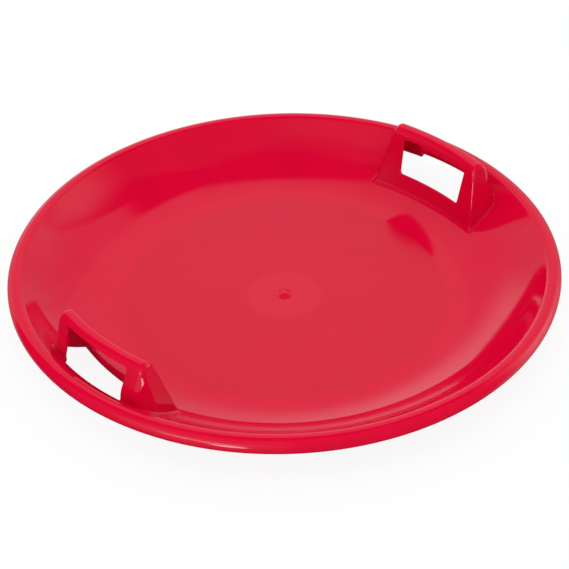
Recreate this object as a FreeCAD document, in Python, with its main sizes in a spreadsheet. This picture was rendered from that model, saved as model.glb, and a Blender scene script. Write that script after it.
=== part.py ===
"""Saucer sled: a round moulded bowl with a rolled rim and two hollow hand grips.

The sled is one plastic moulding of even wall. It is drawn here as the regions of that moulding,
each a solid of its own that meets its neighbours face to face. The origin is the middle of the
flat underside, +Z is up, a rider faces +Y and the grips stand at +X (right) and -X (left).
Lengths are in millimetres, angles in degrees.
"""
import FreeCAD
import Part
import Sketcher

import math
import os

# Driving dimensions: alias, value, what it is.
SIZES = [
    ("rim_diameter", 600.0, "outside of the rolled lip"),
    ("wall_thickness", 3.0, "moulded wall, the same all over"),
    ("flare_radius", 133.0, "upper face of the bend from floor to wall"),
    ("flare_angle", 43.0, "slope of the upper wall"),
    ("slope_run", 4.8, "width in plan of the straight upper wall"),
    ("flange_width", 15.0, "wall's end to the middle of the rolled lip"),
    ("lip_radius", 10.0, "outside of the rolled lip's section"),
    ("rim_rise", 10.3, "top of the rolled lip above the wall's end"),
    ("nib_diameter", 5.0, "nib left by the moulding gate"),
    ("nib_height", 0.8, "height of the nib"),
    ("gate_ring", 4.0, "flat bottom of the gate's well, round the nib"),
    ("gate_slope", 4.5, "sloping side of the well"),
    ("gate_depth", 1.2, "depth of the well"),
    ("grip_rise", 41.8, "top of the grip above the wall's end"),
    ("grip_inset", 23.0, "middle of the grip's crown inside the wall's end"),
    ("grip_radius", 10.0, "rounded crown of the grip"),
    ("grip_bend", 320.0, "plan radius that the grip follows"),
    ("front_draft", 15.0, "lean of the face towards the rider"),
    ("outer_draft", 17.5, "lean of the face towards the rim"),
    ("hole_width", 88.0, "hand hole under the grip, from post to post"),
    ("inner_grip_depth", 14.0, "depth of the grip on the rider's side"),
    ("inner_hole_height", 37.0, "height of the hand hole on the rider's side"),
    ("outer_grip_depth", 9.5, "depth of the grip on the rim's side"),
    ("outer_hole_height", 33.5, "height of the hand hole on the rim's side"),
    ("post_width", 28.5, "hand hole to end face, half way up the hole"),
    ("end_turn", 14.0, "turn of the end faces in plan"),
    ("end_draft", 14.0, "lean of the end faces"),
    ("end_fillet", 6.0, "rounding round the end faces"),
    ("hollow_fillet", 3.0, "rounding inside the end faces"),
]

# Places that several pieces share, worked out from the driving dimensions.
WALL_RADIUS = "(Sizes.rim_diameter / 2 - Sizes.lip_radius - Sizes.flange_width)"
FLOOR_RADIUS = f"({WALL_RADIUS} - Sizes.slope_run - Sizes.flare_radius * sin(Sizes.flare_angle))"
BEND_TOP = "(Sizes.wall_thickness + Sizes.flare_radius * (1 - cos(Sizes.flare_angle)))"
WALL_TOP = f"({BEND_TOP} + Sizes.slope_run * tan(Sizes.flare_angle))"
GATE_RADIUS = "(Sizes.nib_diameter / 2 + Sizes.gate_ring + Sizes.gate_slope)"
GRIP_DISTANCE = f"({WALL_RADIUS} - Sizes.grip_inset)"
GRIP_TOP = f"({WALL_TOP} + Sizes.grip_rise)"
INNER_HOLE_TOP = f"({GRIP_TOP} - Sizes.inner_grip_depth)"
INNER_HOLE_BOTTOM = f"({INNER_HOLE_TOP} - Sizes.inner_hole_height)"
OUTER_HOLE_TOP = f"({GRIP_TOP} - Sizes.outer_grip_depth)"
OUTER_HOLE_BOTTOM = f"({OUTER_HOLE_TOP} - Sizes.outer_hole_height)"
HIGHEST_SILL = f"max({INNER_HOLE_BOTTOM}; {OUTER_HOLE_BOTTOM})"
LOWEST_GRIP_EDGE = f"min({INNER_HOLE_TOP}; {OUTER_HOLE_TOP})"
HOLE_MIDDLE = f"(({HIGHEST_SILL} + {LOWEST_GRIP_EDGE}) / 2)"

# How far a cutting shape runs past what it cuts.
MARGIN = 20.0
# Lengths and shares of a volume below this count as nothing.
NOTHING = 1e-6
UP = FreeCAD.Vector(0, 0, 1)


def size_sheet(doc):
    """Makes the sheet of driving dimensions."""
    sheet = doc.addObject("Spreadsheet::Sheet", "Sizes")
    for row, (alias, value, meaning) in enumerate(SIZES, start=1):
        sheet.set(f"A{row}", meaning)
        sheet.set(f"B{row}", str(value))
        sheet.setAlias(f"B{row}", alias)
    doc.recompute()
    return sheet


def size(owner, expression):
    """The value that an expression in the sheet's sizes has now."""
    return float(owner.evalExpression(expression))


def new_body(doc, name):
    """Makes a body whose label names its node."""
    body = doc.addObject("PartDesign::Body", name)
    body.Label = name
    return body


def origin_plane(body, role):
    """One of the body's own origin planes."""
    return next(item for item in body.Origin.OriginFeatures if item.Role == role)


def plane_sketch(body, name, role):
    """Adds a sketch on one of the body's own origin planes."""
    sketch = body.newObject("Sketcher::SketchObject", name)
    sketch.AttachmentSupport = [(origin_plane(body, role), "")]
    sketch.MapMode = "FlatFace"
    return sketch


def point(x, y):
    """A point of a sketch."""
    return FreeCAD.Vector(x, y, 0)


def from_centre(centre, radius, angle):
    """A point of a sketch at an angle, in radians, on a circle."""
    return point(centre.x + radius * math.cos(angle), centre.y + radius * math.sin(angle))


def line(sketch, start, end, construction=False):
    """Adds a straight line to a sketch."""
    return sketch.addGeometry(Part.LineSegment(start, end), construction)


def arc(sketch, centre, radius, start, end):
    """Adds an arc to a sketch, from one angle to another in radians."""
    return sketch.addGeometry(Part.ArcOfCircle(Part.Circle(centre, UP, radius), start, end), False)


def rule(sketch, *constraint):
    """Adds a geometric rule, without a size, to a sketch."""
    sketch.addConstraint(Sketcher.Constraint(*constraint))


def bind(sketch, name, expression, kind, *places):
    """Adds a named dimension to a sketch and ties it to the sheet."""
    value = size(sketch, expression)
    if kind == "Angle":
        value = math.radians(value)
    index = sketch.addConstraint(Sketcher.Constraint(kind, *places, value))
    sketch.renameConstraint(index, name)
    sketch.setExpression("Constraints." + name, expression)


def outline(sketch, corners):
    """Draws a closed outline of straight lines and joins its corners."""
    count = len(corners)
    for index in range(count):
        line(sketch, point(*corners[index]), point(*corners[(index + 1) % count]))
    for index in range(count):
        rule(sketch, "Coincident", index, 2, (index + 1) % count, 1)


def turn(body, sketch, name):
    """Revolves a sketch all the way round the sled's axis."""
    feature = body.newObject("PartDesign::Revolution", name)
    feature.Profile = sketch
    feature.ReferenceAxis = (sketch, ["V_Axis"])
    return feature


def floor_pan(doc):
    """The flat floor, a disc with room for the gate's well."""
    body = new_body(doc, "floor_pan")
    sketch = plane_sketch(body, "floor_plan", "XY_Plane")
    for name, radius in (("edge", FLOOR_RADIUS), ("well", GATE_RADIUS)):
        circle = sketch.addGeometry(Part.Circle(point(0, 0), UP, size(sketch, radius)), False)
        rule(sketch, "Coincident", circle, 3, -1, 1)
        bind(sketch, name, radius, "Radius", circle)
    pad = body.newObject("PartDesign::Pad", "floor_pad")
    pad.Profile = sketch
    pad.setExpression("Length", "Sizes.wall_thickness")
    return body


def gate_well(doc, sheet):
    """The well in the middle of the floor, with the nib that the gate leaves."""
    body = new_body(doc, "gate_well")
    sketch = plane_sketch(body, "well_section", "XZ_Plane")
    nib = sheet.nib_diameter / 2
    flat = nib + sheet.gate_ring
    rim = flat + sheet.gate_slope
    top = sheet.wall_thickness
    sunk = top - sheet.gate_depth
    nib_top = sunk + sheet.nib_height
    outline(sketch, [(0, 0), (rim, 0), (rim, top), (flat, sunk), (nib, sunk), (nib, nib_top), (0, nib_top)])
    rule(sketch, "Coincident", 0, 1, -1, 1)
    for flat_line in (0, 3, 5):
        rule(sketch, "Horizontal", flat_line)
    for upright in (1, 4, 6):
        rule(sketch, "Vertical", upright)
    bind(sketch, "rim", GATE_RADIUS, "DistanceX", -1, 1, 0, 2)
    bind(sketch, "slope", "Sizes.gate_slope", "DistanceX", 2, 2, 0, 2)
    bind(sketch, "nib", "Sizes.nib_diameter / 2", "DistanceX", -1, 1, 3, 2)
    bind(sketch, "top", "Sizes.wall_thickness", "DistanceY", -1, 1, 1, 2)
    bind(sketch, "depth", "Sizes.gate_depth", "DistanceY", 2, 2, 1, 2)
    bind(sketch, "nib_height", "Sizes.nib_height", "DistanceY", 3, 2, 4, 2)
    turn(body, sketch, "well_turn")
    return body


def wall_face(sketch, sheet, low):
    """Draws the wall's upper face: its inner edge (line 0), the bend (arc 1) and the slope (line 2).

    The inner edge runs from the height low up to the floor's upper face. Returns the bend's centre
    and the end of the slope.
    """
    floor = size(sketch, FLOOR_RADIUS)
    slope = math.radians(sheet.flare_angle)
    centre = point(floor, sheet.wall_thickness + sheet.flare_radius)
    bend_end = from_centre(centre, sheet.flare_radius, slope - math.pi / 2)
    wall_end = point(size(sketch, WALL_RADIUS), size(sketch, WALL_TOP))
    line(sketch, point(floor, low), point(floor, sheet.wall_thickness))
    arc(sketch, centre, sheet.flare_radius, -math.pi / 2, slope - math.pi / 2)
    line(sketch, bend_end, wall_end)
    rule(sketch, "Vertical", 0)
    rule(sketch, "Coincident", 0, 2, 1, 1)
    rule(sketch, "Vertical", 1, 3, 0, 2)
    rule(sketch, "Tangent", 1, 2, 2, 1)
    bind(sketch, "floor_radius", FLOOR_RADIUS, "DistanceX", -1, 1, 0, 1)
    bind(sketch, "floor_top", "Sizes.wall_thickness", "DistanceY", -1, 1, 0, 2)
    bind(sketch, "bend", "Sizes.flare_radius", "Radius", 1)
    bind(sketch, "slope", "Sizes.flare_angle", "Angle", 2)
    bind(sketch, "wall_end", WALL_RADIUS, "DistanceX", -1, 1, 2, 2)
    return centre, wall_end


def bowl_blank(doc, sheet):
    """The flared wall, all the way round, before the hand holes are opened."""
    body = new_body(doc, "bowl_blank")
    sketch = plane_sketch(body, "wall_section", "XZ_Plane")
    centre, wall_end = wall_face(sketch, sheet, 0)
    across = math.radians(sheet.flare_angle) - math.pi / 2
    under = sheet.flare_radius + sheet.wall_thickness
    low_end = from_centre(wall_end, sheet.wall_thickness, across)
    line(sketch, wall_end, low_end)
    line(sketch, low_end, from_centre(centre, under, across))
    arc(sketch, centre, under, -math.pi / 2, across)
    rule(sketch, "PointOnObject", 0, 1, -1)
    rule(sketch, "Coincident", 2, 2, 3, 1)
    rule(sketch, "Coincident", 3, 2, 4, 1)
    rule(sketch, "Tangent", 4, 2, 5, 2)
    rule(sketch, "Coincident", 5, 1, 0, 1)
    rule(sketch, "Coincident", 5, 3, 1, 3)
    rule(sketch, "Perpendicular", 2, 3)
    rule(sketch, "Parallel", 2, 4)
    turn(body, sketch, "wall_turn")
    return body


def handle_seat(doc, sheet):
    """All that lies under the wall's upper face or outside its end, which trims the handles."""
    body = new_body(doc, "handle_seat")
    sketch = plane_sketch(body, "seat_section", "XZ_Plane")
    wall_end = wall_face(sketch, sheet, -MARGIN)[1]
    top = size(sketch, GRIP_TOP) + MARGIN
    far = wall_end.x + MARGIN + sheet.grip_inset
    line(sketch, wall_end, point(wall_end.x, top))
    line(sketch, point(wall_end.x, top), point(far, top))
    line(sketch, point(far, top), point(far, -MARGIN))
    line(sketch, point(far, -MARGIN), point(size(sketch, FLOOR_RADIUS), -MARGIN))
    for index in (2, 3, 4, 5):
        rule(sketch, "Coincident", index, 2, index + 1, 1)
    rule(sketch, "Coincident", 6, 2, 0, 1)
    for upright in (3, 5):
        rule(sketch, "Vertical", upright)
    for level in (4, 6):
        rule(sketch, "Horizontal", level)
    bind(sketch, "depth", str(MARGIN), "DistanceY", 0, 1, -1, 1)
    bind(sketch, "top", f"{GRIP_TOP} + {MARGIN}", "DistanceY", -1, 1, 3, 2)
    bind(sketch, "reach", f"{MARGIN} + Sizes.grip_inset", "DistanceX", 4, 1, 4, 2)
    turn(body, sketch, "seat_turn")
    return body


def touching(start, centre, radius):
    """The angle, in radians, at which a line rising from a point touches a circle's upper side."""
    across, up = centre.x - start.x, centre.y - start.y
    return math.atan2(up, across) + math.asin(radius / math.hypot(across, up)) + math.pi / 2


def rolled_rim(doc, sheet):
    """The flange that carries the wall on and the lip that is rolled down round the sled."""
    body = new_body(doc, "rolled_rim")
    sketch = plane_sketch(body, "rim_section", "XZ_Plane")
    thick = sheet.wall_thickness
    lip = sheet.lip_radius
    inner = lip - thick
    top = point(size(sketch, WALL_RADIUS), size(sketch, WALL_TOP))
    low = from_centre(top, thick, math.radians(sheet.flare_angle) - math.pi / 2)
    centre = point(top.x + sheet.flange_width, top.y + sheet.rim_rise - lip)
    over = touching(top, centre, lip)
    under = touching(low, centre, inner)
    line(sketch, low, top)
    line(sketch, top, from_centre(centre, lip, over))
    arc(sketch, centre, lip, -math.pi / 2, over)
    line(sketch, from_centre(centre, lip, -math.pi / 2), from_centre(centre, inner, -math.pi / 2))
    arc(sketch, centre, inner, -math.pi / 2, under)
    line(sketch, from_centre(centre, inner, under), low)
    rule(sketch, "Coincident", 0, 2, 1, 1)
    rule(sketch, "Tangent", 1, 2, 2, 2)
    rule(sketch, "Coincident", 2, 1, 3, 1)
    rule(sketch, "Coincident", 3, 2, 4, 1)
    rule(sketch, "Tangent", 4, 2, 5, 1)
    rule(sketch, "Coincident", 5, 2, 0, 1)
    rule(sketch, "Coincident", 2, 3, 4, 3)
    rule(sketch, "Vertical", 2, 3, 3, 1)
    rule(sketch, "Vertical", 3)
    bind(sketch, "lip", "Sizes.lip_radius", "Radius", 2)
    bind(sketch, "lip_wall", "Sizes.wall_thickness", "DistanceY", 3, 1, 3, 2)
    bind(sketch, "seat_out", WALL_RADIUS, "DistanceX", -1, 1, 0, 2)
    bind(sketch, "seat_up", WALL_TOP, "DistanceY", -1, 1, 0, 2)
    bind(sketch, "seat_run", "Sizes.wall_thickness * sin(Sizes.flare_angle)", "DistanceX", 0, 2, 0, 1)
    bind(sketch, "seat_rise", "Sizes.wall_thickness * cos(Sizes.flare_angle)", "DistanceY", 0, 1, 0, 2)
    bind(sketch, "lip_out", "Sizes.flange_width", "DistanceX", 0, 2, 2, 3)
    bind(sketch, "lip_up", f"{WALL_TOP} + Sizes.rim_rise - Sizes.lip_radius", "DistanceY", -1, 1, 2, 3)
    turn(body, sketch, "rim_turn")
    return body


def handle_sweep(body, sheet, inset):
    """Sweeps the handle's section, with its rounded crown, along the grip's bend.

    The inset is an expression, the distance of the section inside the handle's outer form.
    """
    sketch = plane_sketch(body, body.Label + "_section", "XZ_Plane")
    crown = sheet.grip_radius - size(sketch, inset)
    centre = point(size(sketch, GRIP_DISTANCE), size(sketch, GRIP_TOP) - sheet.grip_radius)
    front = math.radians(sheet.front_draft)
    outer = math.radians(sheet.outer_draft)
    front_touch = from_centre(centre, crown, math.pi - front)
    outer_touch = from_centre(centre, crown, outer)
    front_foot = point(front_touch.x - front_touch.y * math.tan(front), 0)
    outer_foot = point(outer_touch.x + outer_touch.y * math.tan(outer), 0)
    bend_axis = centre.x - sheet.grip_bend
    line(sketch, front_foot, front_touch)
    arc(sketch, centre, crown, outer, math.pi - front)
    line(sketch, outer_foot, outer_touch)
    line(sketch, front_foot, outer_foot)
    line(sketch, point(bend_axis, 0), point(bend_axis, MARGIN), construction=True)
    rule(sketch, "Tangent", 0, 2, 1, 2)
    rule(sketch, "Tangent", 2, 2, 1, 1)
    rule(sketch, "Coincident", 0, 1, 3, 1)
    rule(sketch, "Coincident", 2, 1, 3, 2)
    for foot in (0, 2, 4):
        rule(sketch, "PointOnObject", foot, 1, -1)
    rule(sketch, "Vertical", 4)
    bind(sketch, "crown", f"Sizes.grip_radius - {inset}", "Radius", 1)
    bind(sketch, "crown_out", GRIP_DISTANCE, "DistanceX", -1, 1, 1, 3)
    bind(sketch, "crown_up", f"{GRIP_TOP} - Sizes.grip_radius", "DistanceY", -1, 1, 1, 3)
    bind(sketch, "front", "90 - Sizes.front_draft", "Angle", 0)
    bind(sketch, "outer", "90 + Sizes.outer_draft", "Angle", 2)
    bind(sketch, "bend", "Sizes.grip_bend", "DistanceX", 4, 1, 1, 3)
    bind(sketch, "axis_length", str(MARGIN), "DistanceY", 4, 1, 4, 2)
    sweep = body.newObject("PartDesign::Revolution", body.Label + "_sweep")
    sweep.Profile = sketch
    sweep.ReferenceAxis = (sketch, ["Axis0"])
    sweep.Midplane = True
    widest = f"Sizes.hole_width / 2 + Sizes.post_width + tan(Sizes.end_draft) * {GRIP_TOP} + {MARGIN}"
    sweep.setExpression("Angle", f"2 * asin(({widest}) / Sizes.grip_bend)")


def handle_ends(body, sheet, inset):
    """Cuts the two ends of the handle's sweep back to leaning planes."""
    sketch = plane_sketch(body, body.Label + "_end", "YZ_Plane")
    turned = FreeCAD.Rotation(FreeCAD.Vector(0, 1, 0), sheet.end_turn)
    aside = f"Sizes.hole_width / 2 + Sizes.post_width - {GRIP_DISTANCE} * tan(Sizes.end_turn)"
    sketch.AttachmentOffset = FreeCAD.Placement(point(size(sketch, aside), 0), turned)
    sketch.setExpression("AttachmentOffset.Base.x", aside)
    sketch.setExpression("AttachmentOffset.Rotation.Angle", "Sizes.end_turn")
    foot_out = f"tan(Sizes.end_draft) * ({HOLE_MIDDLE} + {MARGIN}) - {inset} / cos(Sizes.end_draft)"
    foot = size(sketch, foot_out)
    head_up = size(sketch, GRIP_TOP) + MARGIN
    head = foot - (head_up + MARGIN) * math.tan(math.radians(sheet.end_draft))
    far = sheet.rim_diameter / 2
    outline(sketch, [(foot, -MARGIN), (far, -MARGIN), (far, head_up), (head, head_up)])
    for level in (0, 2):
        rule(sketch, "Horizontal", level)
    rule(sketch, "Vertical", 1)
    bind(sketch, "foot", foot_out, "DistanceX", -1, 1, 0, 1)
    bind(sketch, "depth", str(MARGIN), "DistanceY", 0, 1, -1, 1)
    bind(sketch, "far", "Sizes.rim_diameter / 2", "DistanceX", -1, 1, 1, 1)
    bind(sketch, "head", f"{GRIP_TOP} + {MARGIN}", "DistanceY", -1, 1, 1, 2)
    bind(sketch, "lean", "Sizes.end_draft - 90", "Angle", 3)
    pocket = body.newObject("PartDesign::Pocket", body.Label + "_end_cut")
    pocket.Profile = sketch
    pocket.Type = "ThroughAll"
    pocket.Reversed = True
    pair = body.newObject("PartDesign::Mirrored", body.Label + "_ends")
    pair.Originals = [pocket]
    pair.MirrorPlane = (origin_plane(body, "XZ_Plane"), [""])
    body.Tip = pair
    return pair


def end_edges(shape):
    """Names the edges round the two leaning end faces of a handle, without those at its foot."""
    names = []
    for face in shape.Faces:
        if not isinstance(face.Surface, Part.Plane) or face.BoundBox.ZLength < NOTHING:
            continue
        for edge in face.Edges:
            if edge.BoundBox.ZMax > NOTHING:
                index = next(i for i, other in enumerate(shape.Edges, start=1) if other.isSame(edge))
                names.append(f"Edge{index}")
    return names


def handle_block(doc, sheet, name, inset, rounding):
    """The handle's outer form, or its hollow where the inset is the wall's thickness."""
    body = new_body(doc, name)
    handle_sweep(body, sheet, inset)
    doc.recompute()
    swept = body.Shape.Volume
    ends = handle_ends(body, sheet, inset)
    doc.recompute()
    if body.Shape.Volume > swept * (1 - NOTHING):
        raise RuntimeError(name + ": the end faces were not cut")
    fillet = body.newObject("PartDesign::Fillet", name + "_rounding")
    fillet.Base = (ends, end_edges(ends.Shape))
    fillet.setExpression("Radius", rounding)
    return body


def slab(doc, name, start, end, side, bottom, top):
    """A box that cuts a handle, all sizes as expressions.

    It runs from start to end along X, for a hand hole's width from side along Y and from bottom to top.
    """
    box = doc.addObject("Part::Box", name)
    box.setExpression("Placement.Base.x", start)
    box.setExpression("Length", f"{end} - {start}")
    box.setExpression("Placement.Base.y", side)
    box.setExpression("Width", "Sizes.hole_width")
    box.setExpression("Placement.Base.z", bottom)
    box.setExpression("Height", f"{top} - {bottom}")
    return box


def cut(doc, name, base, tool):
    """One shape less another."""
    feature = doc.addObject("Part::Cut", name)
    feature.Base = base
    feature.Tool = tool
    return feature


def common(doc, name, base, tool):
    """What two shapes share."""
    feature = doc.addObject("Part::Common", name)
    feature.Base = base
    feature.Tool = tool
    return feature


def mirror(doc, name, source, normal):
    """The mirror image of a shape in an upright plane through the sled's axis."""
    feature = doc.addObject("Part::Mirroring", name)
    feature.Source = source
    feature.Normal = normal
    return feature


def handles(doc, sheet):
    """The two handles: hollow forms over the wall, opened from both sides to let fingers under the grip.

    Returns the grips and posts, and the hollows and sills that the wall takes up.
    """
    across = FreeCAD.Vector(1, 0, 0)
    along = FreeCAD.Vector(0, 1, 0)
    block = handle_block(doc, sheet, "handle_form", "0", "Sizes.end_fillet")
    hollow = handle_block(doc, sheet, "handle_hollow", "Sizes.wall_thickness", "Sizes.hollow_fillet")
    shell = cut(doc, "handle_shell", block, hollow)
    seated = cut(doc, "handle_seated", shell, handle_seat(doc, sheet))

    near = FLOOR_RADIUS
    far = "Sizes.rim_diameter / 2"
    rear = "-Sizes.hole_width / 2"
    front = "Sizes.hole_width / 2"
    above = f"({GRIP_TOP} + {MARGIN})"
    inner_hole = slab(doc, "inner_hole", near, GRIP_DISTANCE, rear, INNER_HOLE_BOTTOM, INNER_HOLE_TOP)
    outer_hole = slab(doc, "outer_hole", GRIP_DISTANCE, far, rear, OUTER_HOLE_BOTTOM, OUTER_HOLE_TOP)
    half_open = cut(doc, "handle_half_open", seated, inner_hole)
    opened = cut(doc, "handle_open", half_open, outer_hole)

    grip_zone = slab(doc, "grip_zone", near, far, rear, HOLE_MIDDLE, above)
    sill_zone = slab(doc, "sill_zone", near, far, rear, "0", HOLE_MIDDLE)
    post_zone = slab(doc, "post_zone", near, far, front, "0", above)
    grip = common(doc, "right_grip", opened, grip_zone)
    front_post = common(doc, "right_front_post", opened, post_zone)
    rear_post = mirror(doc, "right_rear_post", front_post, along)
    sills = common(doc, "right_sills", opened, sill_zone)
    pieces = [grip, front_post, rear_post]
    for piece in list(pieces):
        pieces.append(mirror(doc, piece.Label.replace("right", "left"), piece, across))
    left_sills = mirror(doc, "left_sills", sills, across)
    left_hollow = mirror(doc, "left_hollow", hollow, across)
    return pieces, [hollow, left_hollow], [sills, left_sills]


def bowl_wall(doc, sheet, hollows, sills):
    """The flared wall, open under each handle and turned up into the sills of the hand holes."""
    wall = bowl_blank(doc, sheet)
    for index, hollow in enumerate(hollows):
        wall = cut(doc, f"wall_opening_{index}", wall, hollow)
    feature = doc.addObject("Part::MultiFuse", "bowl_wall")
    feature.Shapes = [wall] + sills
    feature.Refine = True
    return feature


def main():
    """Builds the sled and writes a STEP file for each of its pieces."""
    doc = FreeCAD.newDocument("saucer_sled")
    sheet = size_sheet(doc)
    pieces, hollows, sills = handles(doc, sheet)
    pieces.append(floor_pan(doc))
    pieces.append(gate_well(doc, sheet))
    pieces.append(bowl_wall(doc, sheet, hollows, sills))
    pieces.append(rolled_rim(doc, sheet))
    doc.recompute()

    for item in doc.Objects:
        if "Invalid" in item.State or "Error" in item.State:
            raise RuntimeError(f"{item.Label}: {item.State}")
    for piece in pieces:
        if piece.Shape.isNull() or not piece.Shape.isValid():
            raise RuntimeError(f"{piece.Label}: no valid shape")
    os.makedirs("parts", exist_ok=True)
    for piece in pieces:
        piece.Shape.exportStep(os.path.join("parts", piece.Label + ".step"))
        print(f"{piece.Label}: {len(piece.Shape.Solids)} solid, {piece.Shape.Volume / 1000:.2f} cm3")


main()
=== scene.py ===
"""Looks of a one-piece moulded saucer sled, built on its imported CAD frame.

The saucer is a bowl of revolution with a rolled rim. Two hollow handles rise from its wall in soft
fillets. The wall and the handles come from one signed distance, so their surfaces and normals run on into
each other, although they are separate pieces. Sizes are in millimetres until a mesh is written, in metres.
"""

import logging
import math
from collections.abc import Callable
from dataclasses import dataclass, field
from enum import Enum
from functools import partial
from typing import Any

import bpy
import numpy as np
from bpy.types import Material, Mesh, Node, NodeSocket, NodeTree, Object, World
from mathutils import Matrix, Vector
from mathutils.geometry import delaunay_2d_cdt


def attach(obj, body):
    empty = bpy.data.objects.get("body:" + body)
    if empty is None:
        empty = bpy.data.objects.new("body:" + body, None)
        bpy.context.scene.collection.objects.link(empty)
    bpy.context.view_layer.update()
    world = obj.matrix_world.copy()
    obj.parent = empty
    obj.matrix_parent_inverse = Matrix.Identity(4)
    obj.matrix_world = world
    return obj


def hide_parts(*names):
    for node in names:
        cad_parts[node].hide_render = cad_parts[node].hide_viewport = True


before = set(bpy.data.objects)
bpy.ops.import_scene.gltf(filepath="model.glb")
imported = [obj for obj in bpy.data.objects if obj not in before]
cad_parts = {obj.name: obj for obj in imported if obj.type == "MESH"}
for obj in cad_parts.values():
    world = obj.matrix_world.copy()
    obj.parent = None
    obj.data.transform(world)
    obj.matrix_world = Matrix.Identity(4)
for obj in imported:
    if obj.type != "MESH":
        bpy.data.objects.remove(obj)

LOG = logging.getLogger("saucer_sled")
MM = 0.001
BODY = "root"
BISECTIONS = 44
SLACK = 0.01
CDT_VALID_FACES = 4
CDT_SLACK = 1e-6
UP = np.array([0.0, 0.0, 1.0])
WHITE = (1.0, 1.0, 1.0, 1.0)
Array = np.ndarray
Outline = list[tuple[float, float]]
Adder = Callable[..., Node]


class Side(Enum):
    """The two sides of the sled, with the turn about Z that takes a right-hand piece there."""

    RIGHT = 0.0
    LEFT = math.pi

    def node(self, piece: str) -> str:
        """Name the CAD node of a piece on this side."""
        return f"{self.name.lower()}_{piece}"


class Face(Enum):
    """The two skins of the thin wall, with their sign along its outward normal."""

    UPPER = 1.0
    LOWER = -1.0


class Hole(Enum):
    """The two hand holes of a handle: the rider's and the one behind it."""

    FRONT = "front"
    OUTER = "outer"


def linear(hex_colour: str) -> tuple[float, float, float, float]:
    """Turn an sRGB hex colour to linear light.

    Args:
        hex_colour: Six hex digits.

    Returns:
        Linear red, green and blue, and full opacity.
    """
    parts = [int(hex_colour[i:i + 2], 16) / 255 for i in (0, 2, 4)]
    red, green, blue = (c / 12.92 if c <= 0.04045 else ((c + 0.055) / 1.055) ** 2.4 for c in parts)
    return red, green, blue, 1.0


def add_node(tree: NodeTree, kind: str, inputs: dict[str | int, Any] | None = None,
             **settings: Any) -> Node:
    """Add a node, set its properties, and set or link its inputs.

    Args:
        tree: The tree that it joins.
        kind: Blender's type name of the node.
        inputs: By name or number, a value, an output socket to link from, or a node for its first output.
        settings: Properties by name.

    Returns:
        The new node.
    """
    node = tree.nodes.new(kind)
    for name, value in settings.items():
        setattr(node, name, value)
    for key, value in (inputs or {}).items():
        if isinstance(value, Node):
            value = value.outputs[0]
        if isinstance(value, NodeSocket):
            tree.links.new(value, node.inputs[key])
        else:
            node.inputs[key].default_value = value
    return node


def empty_tree(owner: Material | World) -> Adder:
    """Start the node tree of a material or a world.

    Args:
        owner: The material or world.

    Returns:
        The helper that adds a node to its tree.
    """
    owner.use_nodes = True
    owner.node_tree.nodes.clear()
    return partial(add_node, owner.node_tree)


@dataclass(frozen=True)
class Grain:
    """A noise in a finish: its length, how many finer ones ride on it, and how strong these are."""

    length: float
    detail: float
    strength: float



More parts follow.
